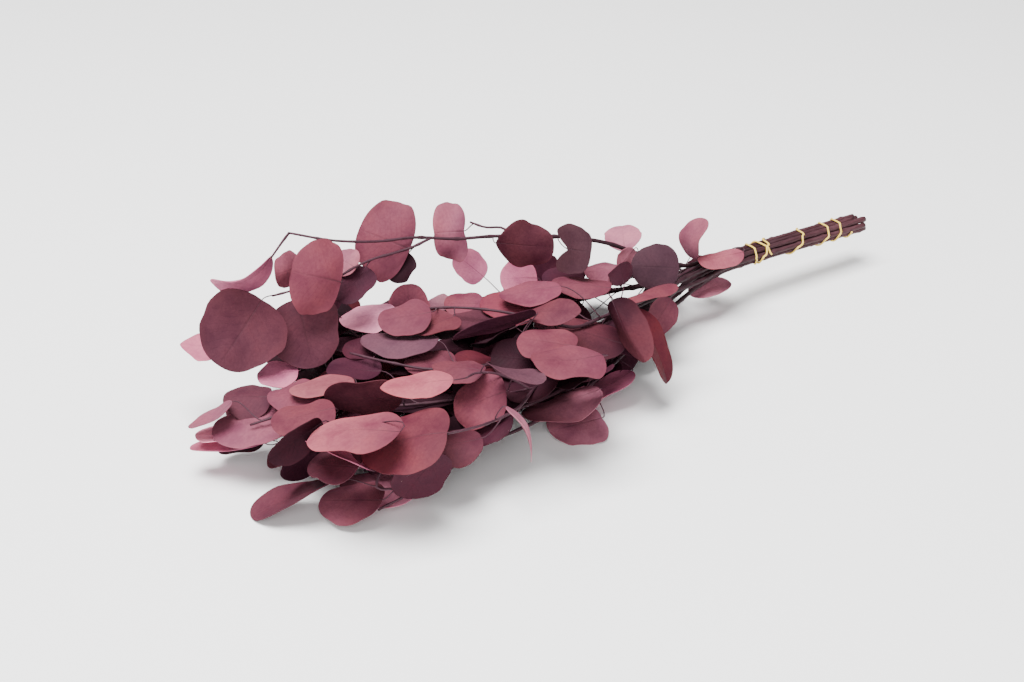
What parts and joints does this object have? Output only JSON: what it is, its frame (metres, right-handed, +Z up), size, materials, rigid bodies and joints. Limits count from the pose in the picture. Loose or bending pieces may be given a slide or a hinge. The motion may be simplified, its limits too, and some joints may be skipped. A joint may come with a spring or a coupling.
{
  "type": "bunch of preserved eucalyptus",
  "caption": "Tied bunch of dyed, preserved eucalyptus stems with round burgundy leaves, lying on a surface.",
  "frame": {"origin": "on the table, under the middle of the bunch's footprint", "axes": "+X along the bunch towards its cut ends, +Z up from the table"},
  "size_m": [0.7269, 0.3012, 0.1694],
  "materials": {
    "preserved_leaf": "satin, dyed burgundy",
    "tie_elastic": "matte, pale yellow"
  },
  "bodies": {
    "root": {"leafy_stem_01": "preserved_leaf", "leafy_stem_02": "preserved_leaf", "leafy_stem_03": "preserved_leaf", "leafy_stem_04": "preserved_leaf", "leafy_stem_05": "preserved_leaf", "leafy_stem_06": "preserved_leaf", "leafy_stem_07": "preserved_leaf", "leafy_stem_08": "preserved_leaf", "leafy_stem_09": "preserved_leaf", "leafy_stem_10": "preserved_leaf", "elastic_tie": "tie_elastic"}
  },
  "joints": []
}
